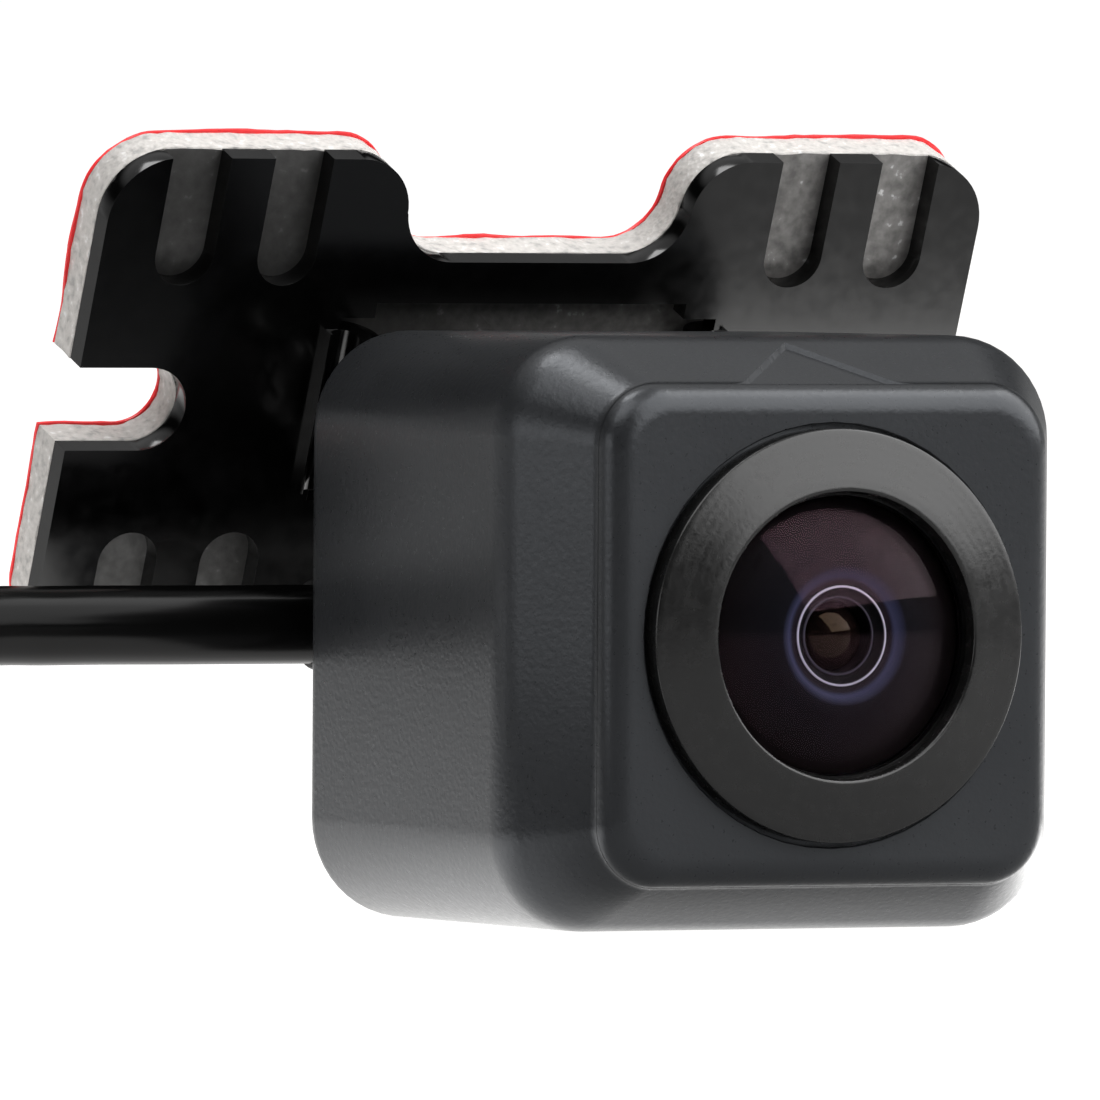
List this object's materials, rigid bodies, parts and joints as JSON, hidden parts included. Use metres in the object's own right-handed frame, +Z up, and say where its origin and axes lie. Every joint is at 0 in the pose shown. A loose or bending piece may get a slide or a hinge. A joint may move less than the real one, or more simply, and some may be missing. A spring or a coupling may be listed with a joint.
{
  "type": "backup camera",
  "caption": "Small square rear-view camera with a domed wide-angle lens on a tilting stamped bracket with an adhesive pad; its cable is coiled and ends in a round plug.",
  "frame": {"origin": "bottom centre of the box round the camera and its bracket, without the cable", "axes": "+Z up with the camera standing on its flat bottom, the lens looks along -Y, +X to the right seen from the front"},
  "size_m": [0.1021, 0.053, 0.0313],
  "materials": {
    "housing_plastic": "fine-grained matte charcoal moulded shell",
    "cover_plastic": "matte dark cover with a moulded lug",
    "seal_rubber": "black sealing rubber",
    "red_rubber": "red silicone seal",
    "screw_steel": "bright plated screw steel",
    "dark_steel": "blackened screw steel",
    "bezel_metal": "satin dark anodised ring",
    "barrel_metal": "black lens tube",
    "coated_glass": "anti-reflection coated wide-angle glass",
    "inner_glass": "clear inner lens glass",
    "filter_glass": "pale cyan infrared filter",
    "stop_black": "deep matte black",
    "circuit_board": "green solder mask",
    "chip_plastic": "black chip package",
    "socket_nylon": "natural nylon",
    "wire_insulation": "coloured wire insulation",
    "cable_jacket": "glossy black jacket",
    "boot_rubber": "satin black moulded boot",
    "tie_strap": "woven black strap",
    "connector_plastic": "black connector moulding",
    "contact_brass": "gold-flashed contact pins",
    "bracket_black": "glossy black coated steel",
    "acrylic_foam": "speckled grey acrylic foam",
    "liner_red": "red release film"
  },
  "bodies": {
    "camera": {"front_housing": "housing_plastic", "rear_cover": "cover_plastic", "cover_gasket": "seal_rubber", "cover_screws": "screw_steel", "lens_bezel": "bezel_metal", "bezel_seal": "seal_rubber", "lens_barrel": "barrel_metal", "front_lens": "coated_glass", "second_lens": "inner_glass", "aperture_stop": "stop_black", "third_lens": "inner_glass", "lens_spacer": "stop_black", "fourth_lens": "inner_glass", "lens_retainer": "barrel_metal", "lens_holder": "stop_black", "ir_filter": "filter_glass", "image_sensor": "chip_plastic", "sensor_board": "circuit_board", "holder_screws": "screw_steel", "board_header": "chip_plastic", "power_board": "circuit_board", "board_components": "chip_plastic", "cable_socket": "socket_nylon", "socket_plug": "socket_nylon", "inner_wires": "wire_insulation", "cable_gland": "boot_rubber", "cable": "cable_jacket", "cable_coil": "cable_jacket", "cable_tail": "cable_jacket", "cable_tie": "tie_strap", "connector_relief": "boot_rubber", "connector_body": "connector_plastic", "connector_seal": "red_rubber", "connector_pins": "contact_brass", "pivot_screws": "dark_steel", "spring_washers": "screw_steel", "friction_washers": "socket_nylon"},
    "bracket": {"bracket_plate": "bracket_black", "foam_tape": "acrylic_foam", "release_liner": "liner_red"}
  },
  "joints": [
    {"name": "bracket_tilt", "type": "hinge", "parent": "camera", "child": "bracket", "pos_m": [0, 0.00848, 0.01897], "axis": [1, 0, 0], "range_deg": [-22, 42]}
  ]
}
